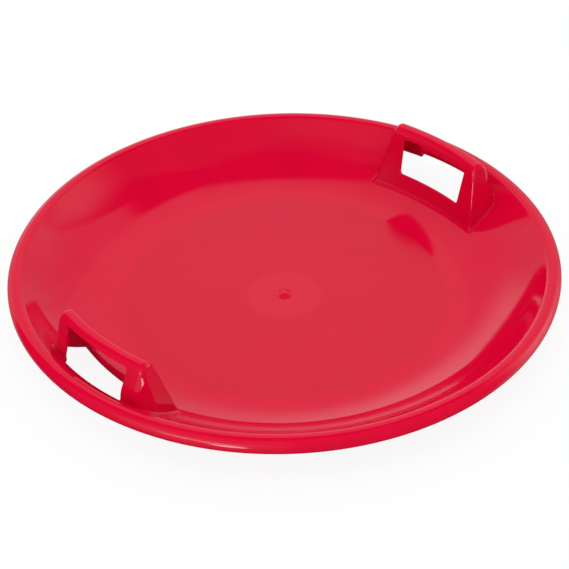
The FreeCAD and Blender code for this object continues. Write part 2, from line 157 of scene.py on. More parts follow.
@dataclass(frozen=True)
class MouldedPolyethylene:
    """High-density polyethylene, injection moulded in a polished tool and coloured through.

    The polished steel leaves a hard wet gloss. Sinking and flow as it cools leave a slow ripple that bends
    the reflections, and the melt spreads from the middle in faint streaks.
    """

    name: str = "injection_moulded_polyethylene"
    colour: str = "DB0233"
    streak_colour: str = "D2012F"
    # Painted shade: the floor's colour is darker than the wall's, where the wall takes more light.
    floor_colour: str = "CC022A"
    floor_shade_share: float = 0.55
    # Painted sheen: the paler, pinker disc round the gate stands for a difference in gloss there.
    disc_sheen_colour: str = "DC1E3C"
    disc_sheen_share: float = 0.4
    roughness: float = 0.06
    floor_roughness: float = 0.15
    haze: float = 0.02
    ior: float = 1.5
    streaks: Grain = Grain(26.0, 2.0, 0.5)
    streak_reach: float = 200.0
    ripple: Grain = Grain(38.0, 1.0, 0.4)
    ripple_height: float = 0.05
    peel: Grain = Grain(2.4, 1.0, 0.5)
    peel_height: float = 0.0012
    floor_radius: float = 177.0
    floor_blur: float = 1.5
    sheen_disc_radius: float = 41.0
    sheen_disc_blur: float = 2.0
    well_radius: float = 11.5
    well_blur: float = 0.5

    def material(self) -> Material:
        """Build the node material.

        Returns:
            The material, on Object coordinates alone.
        """
        material = bpy.data.materials.new(self.name)
        add = empty_tree(material)
        place = add("ShaderNodeTexCoord").outputs["Object"]
        axes = add("ShaderNodeSeparateXYZ", {0: place}).outputs
        flat = add("ShaderNodeCombineXYZ", {0: axes["X"], 1: axes["Y"]})
        radius = add("ShaderNodeVectorMath", {0: flat}, operation="LENGTH").outputs["Value"]
        outward = add("ShaderNodeVectorMath", {0: flat}, operation="NORMALIZE")
        spoke = add("ShaderNodeVectorMath", {0: outward, "Scale": self.streak_reach * MM},
                    operation="SCALE")
        # Streaks run straight outwards as the melt flowed, and are as wide as their noise is long at their
        # reach. The ripple is what sinking left, and the peel is the faint grain of the tool's polish.
        streaks, ripple, peel = (
            add("ShaderNodeTexNoise", {"Vector": vector, "Scale": 1 / (grain.length * MM),
                                       "Detail": grain.detail, "Roughness": grain.strength}).outputs["Fac"]
            for vector, grain in ((spoke, self.streaks), (place, self.ripple), (place, self.peel)))
        # The floor is left satin by its own part of the tool, so its gloss is duller and mirrored forms
        # end at its edge. Its colour is also painted darker than the wall's, as painted shade where the
        # wall takes more light.
        # A paler, pinker disc round the gate is a painted sheen for the different gloss of the polished
        # insert there, and the well is glossy.
        within, disc_sheen, well = (
            add("ShaderNodeMapRange", {"Value": radius, "From Min": (edge - blur) * MM,
                                       "From Max": (edge + blur) * MM, "To Min": inner, "To Max": outer})
            for edge, blur, inner, outer in ((self.floor_radius, self.floor_blur, 1.0, 0.0),
                                             (self.sheen_disc_radius, self.sheen_disc_blur, self.disc_sheen_share, 0.0),
                                             (self.well_radius, self.well_blur, self.roughness, 1.0)))
        # Painted shade: how much of the darker floor colour is mixed in over the floor.
        floor_shade = add("ShaderNodeMath", {0: within, 1: self.floor_shade_share}, operation="MULTIPLY")
        tone: Any = linear(self.colour)
        for share, colour in ((streaks, self.streak_colour), (floor_shade, self.floor_colour),
                              (disc_sheen, self.disc_sheen_colour)):
            mix = add("ShaderNodeMix", {"Factor": share, 6: tone, 7: linear(colour)}, data_type="RGBA")
            tone = mix.outputs[2]
        swell = add("ShaderNodeBump", {"Strength": 1.0, "Distance": self.ripple_height * MM,
                                       "Height": ripple})
        skin = add("ShaderNodeBump", {"Strength": 1.0, "Distance": self.peel_height * MM,
                                      "Height": peel, "Normal": swell})
        satin = add("ShaderNodeMath", {0: within, 1: self.floor_roughness - self.roughness,
                                       2: self.roughness}, operation="MULTIPLY_ADD")
        polish = add("ShaderNodeMath", {0: satin, 1: well}, operation="MINIMUM")
        hazed = add("ShaderNodeMath", {0: ripple, 1: self.haze, 2: polish}, operation="MULTIPLY_ADD")
        shader = add("ShaderNodeBsdfPrincipled", {"Base Color": tone, "Roughness": hazed, "IOR": self.ior,
                                                  "Normal": skin})
        add("ShaderNodeOutputMaterial", {"Surface": shader})
        return material


def ease(share: Array) -> Array:
    """Ease a share in and out between 0 and 1."""
    share = np.clip(share, 0, 1)
    return share * share * (3 - 2 * share)


def across_band(value: Array, band: tuple[float, float]) -> Array:
    """Ease from 0 to 1 between the ends of a band."""
    return ease((value - band[0]) / (band[1] - band[0]))


def rounded_common(a: Array, b: Array, radius: float | Array) -> Array:
    """Join two distances into that of the forms' common part, with its edge rounded."""
    a, b = a + radius, b + radius
    return np.minimum(np.maximum(a, b), 0) + np.hypot(np.maximum(a, 0), np.maximum(b, 0)) - radius


def bisect(short: Callable[[Array], Array], far: Array) -> Array:
    """Halve the way along rays until each crossing is found.

    Args:
        short: Tells whether each distance is short of its crossing.
        far: Distances beyond the crossings.

    Returns:
        The distances of the crossings.
    """
    low, high = np.zeros(far.shape), far
    for _ in range(BISECTIONS):
        middle = (low + high) / 2
        before = short(middle)
        low, high = np.where(before, middle, low), np.where(before, high, middle)
    return (low + high) / 2


@dataclass(frozen=True)
class BowlForm:
    """The wall's turned upper surface: a flat floor, a bend and a short straight slope."""

    thickness: float = 3.0
    floor_radius: float = 179.5
    wall_radius: float = 275.0
    flare_radius: float = 133.0
    flare_angle: float = math.radians(43.0)

    def bent(self, radius: Array) -> Array:
        """Give how far along the bend each radius lies, from 0 to the bend's whole run."""
        return np.clip(radius - self.floor_radius, 0, self.flare_radius * math.sin(self.flare_angle))

    def lean(self, radius: Array) -> Array:
        """Give the cosine of the surface's slope at each radius."""
        return np.sqrt(1 - (self.bent(radius) / self.flare_radius) ** 2)

    def height(self, radius: Array) -> Array:
        """Work out the upper surface.

        Args:
            radius: Distances from the sled's axis.

        Returns:
            The heights there.
        """
        run = self.bent(radius)
        bend = self.flare_radius - np.sqrt(self.flare_radius ** 2 - run ** 2)
        slope = np.maximum(radius - self.floor_radius - run, 0) * math.tan(self.flare_angle)
        return self.thickness + bend + slope

    def distance(self, points: Array) -> Array:
        """Give each point's distance above the upper surface."""
        radius = np.hypot(points[..., 0], points[..., 1])
        return (points[..., 2] - self.height(radius)) * self.lean(radius)


@dataclass(frozen=True)
class HandleForm:
    """The block that a hollow handle is moulded round, for the right-hand side.

    Its section is a round crown with two drafted faces, swept along an arc, and two leaning planes end it.
    Their edge is crisp on the front face and ever softer down the outer face. A band is where one radius
    eases into the next, by the distance down from the crown or out from its arc.
    """

    grip_distance: float = 252.0
    crown_height: float = 75.0
    crown_radius: float = 10.0
    bend: float = 320.0
    front_draft: float = math.radians(13.0)
    outer_draft: float = math.radians(17.5)
    end_reach: float = 72.5
    end_height: float = 56.8
    end_turn: float = math.radians(14.0)
    end_draft: float = math.radians(14.0)
    crisp_fillet: float = 2.5
    crown_fillet: float = 5.0
    soft_fillet: float = 17.0
    crown_band: tuple[float, float] = (-2.0, 8.0)
    outer_band: tuple[float, float] = (-6.0, 10.0)
    soft_band: tuple[float, float] = (-8.0, 28.0)
    seat_radius: float = 272.4
    seat_fillet: float = 2.0

    def ridge(self, across: Array) -> Array:
        """Give the crown line's X at each Y."""
        return self.grip_distance - self.bend + np.sqrt(self.bend ** 2 - across ** 2)

    def out(self, points: Array) -> Array:
        """Give each point's distance outwards from the crown's arc, in plan."""
        return np.hypot(points[..., 0] - self.grip_distance + self.bend, points[..., 1]) - self.bend

    def fillet(self, points: Array) -> Array:
        """Choose the rounding of the ends' edge.

        Args:
            points: Places in the last axis.

        Returns:
            The radius at each.
        """
        down = self.crown_height - points[..., 2]
        high, low = 1 - across_band(down, self.crown_band), across_band(down, self.soft_band)
        front = self.crisp_fillet + (self.crown_fillet - self.crisp_fillet) * high
        back = self.crown_fillet + (self.soft_fillet - self.crown_fillet) * low
        return front + (back - front) * across_band(self.out(points), self.outer_band)

    def section(self, points: Array) -> Array:
        """Measure from the swept section.

        Args:
            points: Places in the last axis.

        Returns:
            Each one's distance outside.
        """
        out, up = self.out(points), points[..., 2] - self.crown_height
        front = -out * math.cos(self.front_draft) + up * math.sin(self.front_draft)
        outer = out * math.cos(self.outer_draft) + up * math.sin(self.outer_draft)
        turn = np.arctan2(up, out)
        crown = (turn > self.outer_draft) & (turn < math.pi - self.front_draft)
        return np.where(crown, np.hypot(out, up), np.maximum(front, outer)) - self.crown_radius

    def end(self, points: Array) -> Array:
        """Measure from the nearer of the two end planes.

        Args:
            points: Places in the last axis.

        Returns:
            Each one's distance outside.
        """
        along = (np.abs(points[..., 1]) - self.end_reach) * math.cos(self.end_turn)
        across = (points[..., 0] - self.grip_distance) * math.sin(self.end_turn)
        rise = (points[..., 2] - self.end_height) * math.sin(self.end_draft)
        return (along - across) * math.cos(self.end_draft) + rise

    def distance(self, points: Array) -> Array:
        """Measure from the block, trimmed short of the rim and with its edges rounded.

        Args:
            points: Places in the last axis.

        Returns:
            Each one's distance outside.
        """
        block = rounded_common(self.section(points), self.end(points), self.fillet(points))
        seat = np.hypot(points[..., 0], points[..., 1]) - self.seat_radius
        return rounded_common(block, seat, self.seat_fillet)


@dataclass(frozen=True)
class SledForm:
    """The bowl and a right-hand handle as one signed distance, joined by a fillet that thins outwards."""

    bowl: BowlForm = BowlForm()
    handle: HandleForm = HandleForm()
    foot_fillet: float = 3.4
    rim_fillet: float = 1.2
    fillet_band: tuple[float, float] = (252.0, 271.0)
    probe: float = 0.02

    def distance(self, points: Array) -> Array:
        """Measure from the joined upper surface.

        Args:
            points: Places in the last axis.

        Returns:
            The distances, negative below the surface and inside a handle.
        """
        near = across_band(np.hypot(points[..., 0], points[..., 1]), self.fillet_band)
        fillet = self.foot_fillet + (self.rim_fillet - self.foot_fillet) * near
        a = self.bowl.distance(points)
        b = self.handle.distance(points)
        hollow = np.hypot(np.maximum(fillet - a, 0), np.maximum(fillet - b, 0))
        return np.maximum(fillet, np.minimum(a, b)) - hollow

    def cast(self, origin: Array, direction: Array, far: float | Array, face: Face) -> Array:
        """Find where rays cross a skin.

        Args:
            origin: The rays' starts.
            direction: Their unit directions.
            far: How far each may go; the skin lies between.
            face: The skin.

        Returns:
            The crossing points.
        """
        level = 0.0 if face is Face.UPPER else -self.bowl.thickness
        start = self.distance(origin) > level

        def short(way: Array) -> Array:
            """Tell whether each distance along its ray is still on the starting side."""
            return (self.distance(origin + way[..., None] * direction) > level) == start

        return origin + bisect(short, np.zeros(origin.shape[:-1]) + far)[..., None] * direction

    def normal(self, points: Array) -> Array:
        """Work out the upward normal of the distance field.

        Args:
            points: Places in the last axis.

        Returns:
            The unit normal at each.
        """
        steps = self.probe * np.eye(3)
        parts = [self.distance(points + step) - self.distance(points - step) for step in steps]
        slope = np.stack(parts, -1)
        return slope / np.linalg.norm(slope, axis=-1, keepdims=True)


def about_z(points: Array, angle: float) -> Array:
    """Turn points or directions about the sled's axis."""
    c, s = math.cos(angle), math.sin(angle)
    return points @ np.array([[c, s, 0], [-s, c, 0], [0, 0, 1]])


def inside(place: Array, ring: Array) -> bool:
    """Tell whether a place lies inside a closed ring, in plan.

    Args:
        place: The place's X and Y.
        ring: The ring's points in order.

    Returns:
        True if a line from the place crosses the ring an odd number of times.
    """
    x1, y1 = ring[:, 0], ring[:, 1]
    x2, y2 = np.roll(x1, -1), np.roll(y1, -1)
    spans = (y1 > place[1]) != (y2 > place[1])
    reach = x1 + (x2 - x1) * (place[1] - y1) / np.where(spans, y2 - y1, 1)
    return bool(np.count_nonzero(spans & (place[0] < reach)) % 2)


class Skin:
    """A thin wall in the making: two skins with the same faces, closed along their edges.

    Edges where two pieces meet are closed flat, and free edges get a rounded nose that bulges outwards.
    """

    nose: float = 1.2
    nose_power: float = 2.6
    nose_steps: int = 7

    def __init__(self) -> None:
        """Start with no points and no faces."""
        self.points: dict[Face, list[Array]] = {face: [] for face in Face}
        self.normals: dict[Face, list[Array]] = {face: [] for face in Face}
        self.faces: list[tuple[int, ...]] = []
        self.free: set[int] = set()
        self.count = 0

    def add(self, points: dict[Face, Array], normals: dict[Face, Array]) -> Array:
        """Add points to both skins.

        Args:
            points: Each skin's points, in the same order.
            normals: The field's upward normals there.

        Returns:
            The points' numbers, in the shape in which they came.
        """
        shape = points[Face.UPPER].shape[:-1]
        for face in Face:
            self.points[face].append(points[face].reshape(-1, 3))
            self.normals[face].append(normals[face].reshape(-1, 3) * face.value)
        numbers = np.arange(self.count, self.count + math.prod(shape)).reshape(shape)
        self.count += math.prod(shape)
        return numbers

    def rows(self, numbers: Array, keep: Array | None = None) -> None:
        """Join a grid of point numbers into faces.

        Args:
            numbers: The grid, whose rows run outwards and whose columns run anticlockwise seen from above.
            keep: Which of its cells are wanted.
        """
        cells = np.stack([numbers[:-1, :-1], numbers[1:, :-1], numbers[1:, 1:], numbers[:-1, 1:]], -1)
        chosen = cells.reshape(-1, 4) if keep is None else cells[keep]
        self.faces += [tuple(cell) for cell in chosen.tolist()]

    def rim_edges(self) -> list[tuple[int, int]]:
        """List the directed edges that only one face has."""
        seen = {edge for face in self.faces for edge in zip(face, face[1:] + face[:1])}
        return [edge for edge in sorted(seen) if edge[::-1] not in seen]

    def mesh(self, name: str, material: Material, turn: float = 0.0) -> Mesh:
        """Close the wall and write it as a mesh with its own normals.

        Args:
            name: The mesh's name.
            material: The finish.
            turn: A turn about Z for the whole piece.

        Returns:
            The mesh, in metres.
        """
        upper, lower = (np.concatenate(self.points[face]) for face in Face)
        over, under = (np.concatenate(self.normals[face]) for face in Face)
        places: list[Array] = [upper, lower]
        faces: list[tuple[int, ...]] = list(self.faces)
        corners: list[Array] = [over[list(face)] for face in self.faces]
        for face in self.faces:
            faces.append(tuple(self.count + i for i in face[::-1]))
            corners.append(under[list(face[::-1])])
        edges = self.rim_edges()
        rounded = {edge for edge in edges if edge[0] in self.free and edge[1] in self.free}
        noses: dict[int, list[int]] = {}
        slopes: dict[int, Array] = {}
        total = 2 * self.count
        for number, (row, lean) in self.bulges(upper, lower, sorted(rounded)).items():
            noses[number] = [number, *range(total, total + len(row)), self.count + number]
            slopes[number] = np.concatenate([over[number:number + 1], lean, under[number:number + 1]])
            places.append(row)
            total += len(row)
        for a, b in edges:
            if (a, b) in rounded:
                for k in range(self.nose_steps + 1):
                    quad = ((b, k), (a, k), (a, k + 1), (b, k + 1))
                    faces.append(tuple(noses[i][j] for i, j in quad))
                    corners.append(np.stack([slopes[i][j] for i, j in quad]))
            else:
                faces.append((b, a, self.count + a, self.count + b))
                corners.append(np.zeros((4, 3)))
        starts, stops = ({edge[end] for edge in edges if edge not in rounded} for end in (0, 1))
        for number, line in noses.items():
            if number in starts or number in stops:
                faces.append(tuple(line if number in starts else line[::-1]))
                corners.append(np.zeros((len(line), 3)))
        used = np.unique(np.concatenate([np.array(face) for face in faces]))
        kept = about_z(np.concatenate(places)[used], turn) * MM
        mesh = bpy.data.meshes.new(name)
        mesh.from_pydata(kept, [], [np.searchsorted(used, face).tolist() for face in faces])
        mesh.shade_smooth()
        mesh.normals_split_custom_set(about_z(np.concatenate(corners), turn))
        mesh.update()
        mesh.materials.append(material)
        return mesh

    def bulges(self, upper: Array, lower: Array,
               edges: list[tuple[int, int]]) -> dict[int, tuple[Array, Array]]:
        """Work out the rounded nose at each point of the free edges.

        Args:
            upper: The upper skin's points.
            lower: The lower skin's points.
            edges: The free edges, with their face on the left.

        Returns:
            By point number, the nose's points from the upper to the lower skin, and their normals.
        """
        outward: dict[int, Array] = {}
        for a, b in edges:
            for number in (a, b):
                side = np.cross(upper[b] - upper[a], upper[number] - lower[number])
                outward[number] = outward.get(number, np.zeros(3)) + side / np.linalg.norm(side)
        turns = np.linspace(0, math.pi, self.nose_steps + 2)[1:-1]
        c, s, power = np.cos(turns), np.sin(turns), 2 / self.nose_power
        rise = np.sign(c) * np.abs(c) ** power
        found: dict[int, tuple[Array, Array]] = {}
        for number, side in outward.items():
            side = side / np.linalg.norm(side)
            half = (upper[number] - lower[number]) / 2
            depth = np.linalg.norm(half)
            middle = (upper[number] + lower[number]) / 2
            row = middle + rise[:, None] * half + (s ** power)[:, None] * self.nose * side
            lean = (np.sign(c) * np.abs(c) ** (2 - power) / depth)[:, None] * half / depth
            lean = lean + (s ** (2 - power) / self.nose)[:, None] * side
            found[number] = row, lean / np.linalg.norm(lean, axis=1, keepdims=True)
        return found


def new_object(name: str, data: Any) -> Object:
    """Make an object of a mesh, a lamp or a camera and link it to the scene.

    Args:
        name: The object's name.
        data: What it shows.

    Returns:
        The object.
    """
    made = bpy.data.objects.new(name, data)
    bpy.context.scene.collection.objects.link(made)
    return made


def show(piece: Object, nodes: list[str]) -> None:
    """Put a piece on the sled's body, in place of its CAD nodes.

    Args:
        piece: The finished piece.
        nodes: The CAD nodes that it stands for.
    """
    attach(piece, BODY)
    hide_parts(*nodes)
    LOG.info("%s: %d faces, for %s", piece.name, len(piece.data.polygons), ", ".join(nodes))


class Turning:
    """A Geometry Nodes tree that turns a closed section about the sled's axis."""

    crease: float = math.radians(38)
    merge: float = 0.001

    def __init__(self) -> None:
        """Build the tree: the section's outline is swept round a circle and given its material."""
        tree = bpy.data.node_groups.new("turned_section", "GeometryNodeTree")
        self.tree = tree
        for name, kind in (("Section", "NodeSocketGeometry"), ("Turning Radius", "NodeSocketFloat"),
                           ("Segments", "NodeSocketInt"), ("Material", "NodeSocketMaterial")):
            tree.interface.new_socket(name, in_out="INPUT", socket_type=kind)
        tree.interface.new_socket("Piece", in_out="OUTPUT", socket_type="NodeSocketGeometry")
        add = partial(add_node, tree)
        given = add("NodeGroupInput").outputs
        outline = add("GeometryNodeMeshToCurve", {0: given["Section"]})
        path = add("GeometryNodeCurvePrimitiveCircle",
                   {"Resolution": given["Segments"], "Radius": given["Turning Radius"]})
        upright = add("GeometryNodeSetCurveNormal", {"Curve": path}, mode="Z_UP")
        sweep = add("GeometryNodeCurveToMesh", {"Curve": upright, "Profile Curve": outline})
        closed = add("GeometryNodeMergeByDistance", {"Geometry": sweep, "Distance": self.merge * MM})
        real = add("GeometryNodeRealizeInstances", {0: closed})
        dressed = add("GeometryNodeSetMaterial", {"Geometry": real, "Material": given["Material"]})
        add("NodeGroupOutput", {0: dressed})

    def socket(self, name: str) -> str:
        """Give the identifier of one of the tree's inputs."""
        return next(item.identifier for item in self.tree.interface.items_tree
                    if item.name == name and item.in_out == "INPUT")

    def piece(self, name: str, section: Outline, segments: int,
              material: Material) -> Object:
        """Turn one section into a piece.

        Args:
            name: The piece's name.
            section: The closed outline as radius and height, anticlockwise.
            segments: How many steps go round.
            material: The finish.

        Returns:
            The piece, as a plain mesh.
        """
        middle = max(radius for radius, _ in section) * MM
        seed = bpy.data.meshes.new(name + "_section")
        points = [(radius * MM - middle, -height * MM, 0) for radius, height in section[::-1]]
        edges = [(i, (i + 1) % len(points)) for i in range(len(points))]
        on_axis = section[0][0] == section[-1][0] == 0
        seed.from_pydata(points, edges[:-1] if on_axis else edges, [])
        piece = new_object(name, seed)
        modifier = piece.modifiers.new("turning", "NODES")
        modifier.node_group = self.tree
        for key, value in (("Turning Radius", middle), ("Segments", segments), ("Material", material)):
            modifier[self.socket(key)] = value
        made = piece.evaluated_get(bpy.context.evaluated_depsgraph_get())
        mesh = bpy.data.meshes.new_from_object(made)
        piece.modifiers.clear()
        piece.data = mesh
        mesh.name = name
        bpy.data.meshes.remove(seed)
        mesh.shade_smooth()
        mesh.set_sharp_from_angle(angle=self.crease)
        return piece


@dataclass
class Handle:
    """A hollow handle with a hand hole in its front face and another in its outer face.

    Its faces are cast by rays that leave the crown line all round: across the front, round one end, across
    the outer face and round the other end. Rings of points run round it from the crown down to its foot.
    """

    material: Material
    form: SledForm = SledForm()
    ridge_half: float = 56.0
    hole_half: float = 44.3
    hole_flare: float = 2.8
    front_hole: tuple[float, float] = (31.5, 73.6)
    outer_top: float = 77.8
    outer_low_share: float = 0.15
    hole_corner: float = 4.0
    crown_level: float = 80.2
    crown_turn: float = math.radians(50.0)
    crown_far: float = 20.0
    front_far: float = 38.0
    outer_far: float = 30.0
    foot_far: float = 34.0
    foot_depth: float = 22.0
    foot_rise: float = 8.0
    foot_reach: float = 9.0
    sill_least: float = 2.0
    wall_margin: float = 0.2
    fan_corners: tuple[float, float] = (math.radians(56), math.radians(148))
    fan_spread: float = 0.22
    fan_crowd: float = 2.5
    fan_samples: int = 721
    across_steps: int = 58
    corner_steps: int = 4
    end_steps: int = 38
    crown_steps: int = 8
    lintel_steps: int = 3
    hole_steps: int = 26
    sill_steps: int = 5
    foot_steps: int = 9
    holes: dict[Hole, Array] = field(init=False)
    sheet: Skin = field(init=False)
    foot_ring: dict[Face, Array] = field(init=False)

    def __post_init__(self) -> None:
        """Cast both skins and lay the handle's faces."""
        made = {face: self.rings(face) for face in Face}
        rings = {face: made[face][1] for face in Face}
        self.sheet = Skin()
        numbers = self.sheet.add(rings, {face: self.form.normal(rings[face]) for face in Face})
        wrapped = np.concatenate([numbers, numbers[:, :1]], 1)
        keep = np.ones((numbers.shape[0] - 1, numbers.shape[1]), bool)
        first = self.crown_steps + self.lintel_steps
        last = first + self.hole_steps
        front, outer = (self.holes[hole] for hole in Hole)
        keep[first:last, front[:-1]] = False
        keep[first:, outer[:-1]] = False
        self.sheet.rows(wrapped, keep)
        self.sheet.free = {*numbers[first:last + 1, front].flat, *numbers[first:, outer].flat}
        self.cap({face: made[face][0] for face in Face}, numbers[0])
        self.foot_ring = {face: rings[face][-1] for face in Face}

    @property
    def edge(self) -> float:
        """Give the Y at which the nose of a hand hole's side starts."""
        return self.hole_half + Skin.nose

    @property
    def face_steps(self) -> int:
        """Give how many steps run across the front or the outer face."""
        return 2 * self.corner_steps + self.across_steps

    def sides(self) -> tuple[Array, Array, Array, Array]:
        """Number a ring's points along its four sides, as the edges of the crown's grid run.

        Returns:
            The numbers across the front and the outer face, and round the first and the last end.
        """
        long, wide = self.face_steps, self.end_steps
        order = np.append(np.arange(2 * (long + wide)), 0)
        return (order[:long + 1], order[long + wide:2 * long + wide + 1][::-1],
                order[2 * long + wide:][::-1], order[long:long + wide + 1])

    def columns(self) -> tuple[Array, Array]:
        """Lay out the rays round the handle, anticlockwise from the front's +Y end, and note the holes.

        Returns:
            The rays' starts on the crown line in plan, and their directions.
        """
        spare = np.linspace(self.edge, self.ridge_half, self.corner_steps + 1)[1:]
        middle = np.linspace(-self.edge, self.edge, self.across_steps + 1)
        across = np.concatenate([-spare[::-1], middle, spare])
        turns = np.linspace(0, math.pi, self.fan_samples)
        crowd = sum(np.exp(-((turns - corner) / self.fan_spread) ** 2) for corner in self.fan_corners)
        share = np.cumsum(1 + self.fan_crowd * crowd)
        share = (share - share[0]) / (share[-1] - share[0])
        fan = np.interp(np.linspace(0, 1, self.end_steps + 1), share, turns)
        ends = np.full(self.end_steps, self.ridge_half)
        y = np.concatenate([across[::-1][:-1], -ends, across[:-1], ends])
        turn = np.concatenate([np.full(self.face_steps, math.pi), -fan[::-1][:-1],
                               np.zeros(self.face_steps), fan[:-1]])
        front, outer, _, _ = self.sides()
        self.holes = {hole: np.sort(side[np.abs(y[side]) < self.edge + SLACK])
                      for hole, side in zip(Hole, (front, outer))}
        return np.stack([self.form.handle.ridge(y), y], -1), np.stack([np.cos(turn), np.sin(turn)], -1)

    def foot(self, starts: Array, ways: Array) -> Array:
        """Find the height at which each ray's face meets the bowl.

        Args:
            starts: The rays' starts in plan.
            ways: Their directions.

        Returns:
            The heights.
        """
        def on_bowl(reach: Array) -> Array:
            """Give the bowl's point at each distance along its ray."""
            plan = starts + reach[:, None] * ways
            return np.column_stack([plan, self.form.bowl.height(np.hypot(plan[:, 0], plan[:, 1]))])

        def within(reach: Array) -> Array:
            """Tell whether the handle stands on each of those points."""
            return self.form.handle.distance(on_bowl(reach)) < 0

        return on_bowl(bisect(within, np.full(len(starts), self.foot_far)))[:, 2]

    def heights(self, foot: Array) -> Array:
        """Choose the heights of the rings down the faces, so that rings run along the hand holes' edges.

        Args:
            foot: Where each ray's face meets the bowl.

        Returns:
            The heights, a row for each ring from the crown down.
        """
        stop = foot + self.foot_rise
        front_keys = (self.front_hole[1] + Skin.nose, self.front_hole[0] - Skin.nose)
        outer_key = self.outer_top + Skin.nose
        round_end = np.linspace(0, 1, self.end_steps + 1)
        turn = np.concatenate([np.zeros(self.face_steps), round_end[:-1],
                               np.ones(self.face_steps), round_end[:0:-1]])
        top = front_keys[0] + (outer_key - front_keys[0]) * turn
        outer_low = stop + self.outer_low_share * (outer_key - stop)
        low = np.maximum(front_keys[1] + (outer_low - front_keys[1]) * turn, stop + self.sill_least)
        keys = (np.full(len(foot), self.crown_level), top, low, stop)
        counts = (self.lintel_steps, self.hole_steps, self.sill_steps)
        parts = [keys[0][None]]
        for above, below, steps in zip(keys, keys[1:], counts):
            parts.append(above + (below - above) * np.linspace(0, 1, steps + 1)[1:, None])
        return np.concatenate(parts)

    def spread(self, across: Array, share: Array | float) -> Array:
        """Move columns outwards in Y by a share of the flare, so that the hand holes widen upwards."""
        move = np.interp(np.abs(across), (0.0, self.edge, self.ridge_half), (0.0, self.hole_flare, 0.0))
        return across + np.sign(across) * move * share

    def rounded(self, starts: Array, heights: Array) -> tuple[Array, Array]:
        """Round the corners of the hand holes by moving their edge points in Y and Z.

        Args:
            starts: The rays' starts in plan.
            heights: The rings' heights.

        Returns:
            Each ring point's Y, and its height.
        """
        reach = self.hole_corner + Skin.nose
        share = 1 - np.clip((np.arange(len(heights)) - self.lintel_steps) / self.hole_steps, 0, 1)
        y = self.spread(np.tile(starts[:, 1], (len(heights), 1)), share[:, None])
        z = heights.copy()

        def cut(gap: Array) -> Array:
            """Give how far a corner's arc moves a point at each distance from the corner along an edge."""
            bow = reach - np.sqrt(reach ** 2 - (reach - np.clip(gap, 0, reach)) ** 2)
            return np.where(gap < SLACK, reach * (1 - math.sqrt(0.5)), bow)

        first, last = self.lintel_steps, self.lintel_steps + self.hole_steps
        for hole, rings in ((Hole.FRONT, (first, last)), (Hole.OUTER, (first,))):
            columns = self.holes[hole]
            for ring in rings:
                way = -1 if ring == first else 1
                gap = self.edge - np.abs(starts[columns, 1])
                z[ring, columns] = heights[ring, columns] + way * cut(gap)
                for column in columns[[0, -1]]:
                    depth = np.abs(heights[first:last + 1, column] - heights[ring, column])
                    step = np.where(depth < reach, cut(depth), 0)
                    y[first:last + 1, column] -= math.copysign(1, starts[column, 1]) * step
        return y, z

    def rings(self, face: Face) -> tuple[Array, Array]:
        """Cast every ring of one skin, from the crown's top down to the foot of the fillet.

        Args:
            face: The skin.

        Returns:
            The crown's patch as a grid of points, and the rings as rows of points.
        """
        starts, ways = self.columns()
        count = len(starts)
        top = self.spread(starts[:, 1], 1.0)
        level = np.column_stack([self.form.handle.ridge(top), top, np.full(count, self.crown_level)])
        flat = np.column_stack([ways, np.zeros(count)])
        far = np.where(ways[:, 0] < 0, self.front_far, self.outer_far)
        rows = []
        for turn in np.linspace(self.crown_turn, 0, self.crown_steps + 1)[:-1]:
            rows.append(self.form.cast(level, math.cos(turn) * flat + math.sin(turn) * UP, far, face))
        heights = self.heights(self.foot(starts, ways))
        for y, z in zip(*self.rounded(starts, heights)):
            origin = np.column_stack([self.form.handle.ridge(y), y, z])
            rows.append(self.form.cast(origin, flat, far, face))
        last = self.form.cast(np.column_stack([starts, heights[-1]]), flat, far, Face.UPPER)
        reach = self.reach(last, ways)
        centre = last + reach[:, None] * flat
        for turn in np.linspace(0, math.pi / 2, self.foot_steps + 1)[1:]:
            way = -math.cos(turn) * flat - math.sin(turn) * UP
            rows.append(self.form.cast(centre, way, reach + self.foot_depth, face))
        return self.crown(rows[0], face), np.stack(rows)

    def reach(self, wall: Array, ways: Array) -> Array:
        """Choose how far out from its face each foot of the fillet ends, short of the wall's own end.

        Args:
            wall: Points on the faces, above the fillet.
            ways: The rays' directions.

        Returns:
            The distances.
        """
        limit = self.form.bowl.wall_radius - self.wall_margin
        along = (wall[:, :2] * ways).sum(1)
        room = -along + np.sqrt(along ** 2 + limit ** 2 - (wall[:, :2] ** 2).sum(1))
        return np.minimum(self.foot_reach, room)

    def crown(self, ring: Array, face: Face) -> Array:
        """Fill the crown's top ring with a grid.

        Args:
            ring: The topmost ring.
            face: The skin.

        Returns:
            The grid's points, from front to outer along its second axis.
        """
        front, outer, away, near = (ring[side] for side in self.sides())
        u = np.linspace(0, 1, len(front))[:, None, None]
        v = np.linspace(0, 1, len(near))[None, :, None]
        blend = (1 - v) * front[:, None] + v * outer[:, None]
        blend = blend + (1 - u) * away[None] + u * near[None]
        blend = blend - (1 - u) * ((1 - v) * front[0] + v * outer[0])
        blend = blend - u * ((1 - v) * front[-1] + v * outer[-1])
        blend[..., 2] = self.crown_level
        grid = self.form.cast(blend, UP, self.crown_far, face)
        grid[:, 0], grid[:, -1], grid[0], grid[-1] = front, outer, away, near
        return grid

    def cap(self, grids: dict[Face, Array], ring: Array) -> None:
        """Join the crown's grid to the topmost ring.

        Args:
            grids: The crown's points on both skins.
            ring: The topmost ring's point numbers.
        """
        inner = {face: grids[face][1:-1, 1:-1] for face in Face}
        grid = np.zeros(grids[Face.UPPER].shape[:2], int)
        grid[1:-1, 1:-1] = self.sheet.add(inner, {face: self.form.normal(inner[face]) for face in Face})
        grid[:, 0], grid[:, -1], grid[0], grid[-1] = (ring[side] for side in self.sides())
        self.sheet.rows(grid)

    def piece(self, side: Side) -> None:
        """Make the handle on one side, which stands for its grip and two posts.

        Args:
            side: Where it goes.
        """
        name = side.node("handle")
        made = new_object(name, self.sheet.mesh(name, self.material, side.value))
        show(made, [side.node(part) for part in ("grip", "front_post", "rear_post")])


